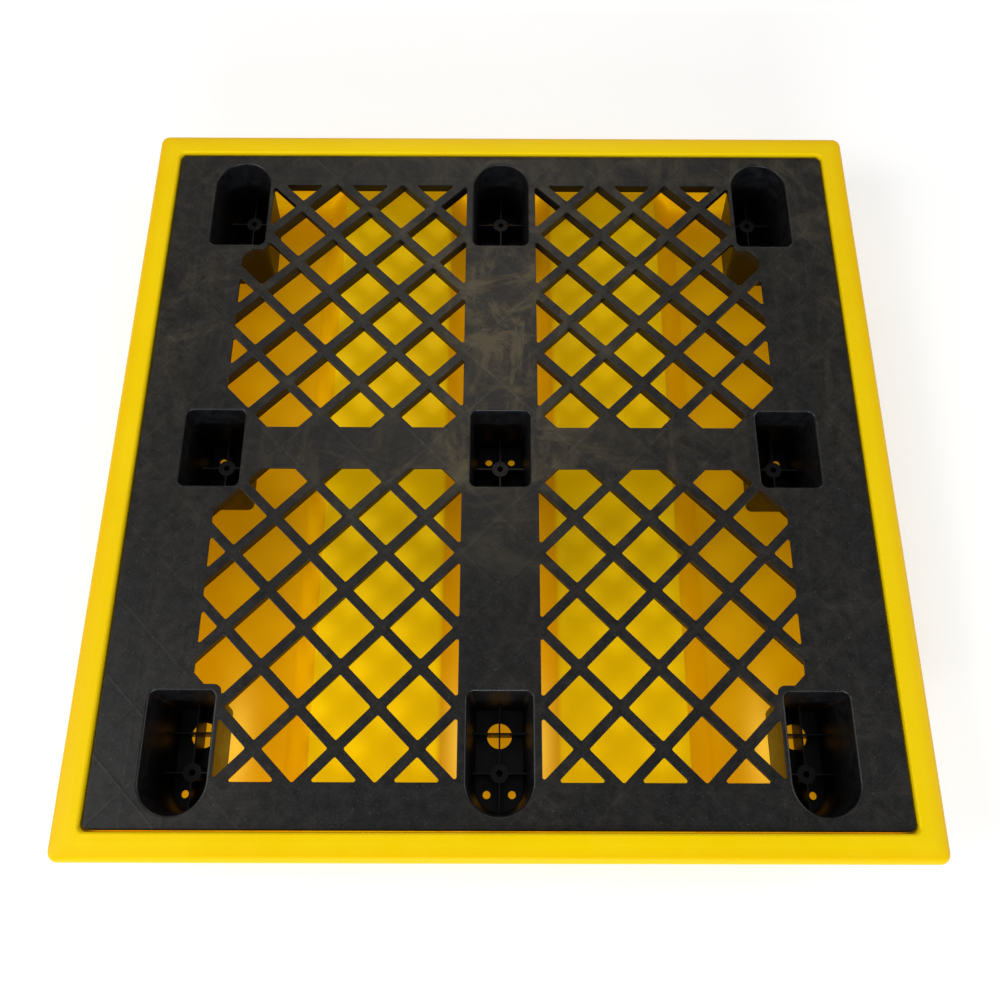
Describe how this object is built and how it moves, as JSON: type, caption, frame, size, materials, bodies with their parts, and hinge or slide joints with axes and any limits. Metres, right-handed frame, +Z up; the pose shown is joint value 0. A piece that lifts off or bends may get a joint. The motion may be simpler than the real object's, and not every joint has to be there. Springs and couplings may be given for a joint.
{
  "type": "spill containment pallet",
  "caption": "Low-profile square spill pallet: a yellow plastic sump with a black nestable nine-leg pallet with a diamond lattice deck standing in it.",
  "frame": {"origin": "centre of the footprint on the ground", "axes": "+Z up, +Y towards the back, +X to the right seen from the front; the fork tunnels run along Y"},
  "size_m": [1.309, 1.309, 0.152],
  "materials": {
    "sump_yellow": "moulded polyethylene, semi-matt, safety yellow",
    "pallet_black": "moulded recycled polyethylene, charcoal black, scuffed and dusty"
  },
  "bodies": {
    "sump": {"sump_tray": "sump_yellow"},
    "pallet": {"front_rail": "pallet_black", "back_rail": "pallet_black", "left_rail": "pallet_black", "right_rail": "pallet_black", "centre_spine": "pallet_black", "cross_band_left": "pallet_black", "cross_band_right": "pallet_black", "side_panel_front_left": "pallet_black", "side_panel_front_right": "pallet_black", "side_panel_back_left": "pallet_black", "side_panel_back_right": "pallet_black", "grille_front_left": "pallet_black", "grille_front_right": "pallet_black", "grille_back_left": "pallet_black", "grille_back_right": "pallet_black", "leg_front_left": "pallet_black", "leg_front_centre": "pallet_black", "leg_front_right": "pallet_black", "leg_middle_left": "pallet_black", "leg_middle_centre": "pallet_black", "leg_middle_right": "pallet_black", "leg_back_left": "pallet_black", "leg_back_centre": "pallet_black", "leg_back_right": "pallet_black"}
  },
  "joints": [
    {"name": "pallet_lift", "type": "slide", "parent": "sump", "child": "pallet", "axis": [0, 0, 1], "range_m": [0, 0.3]}
  ]
}
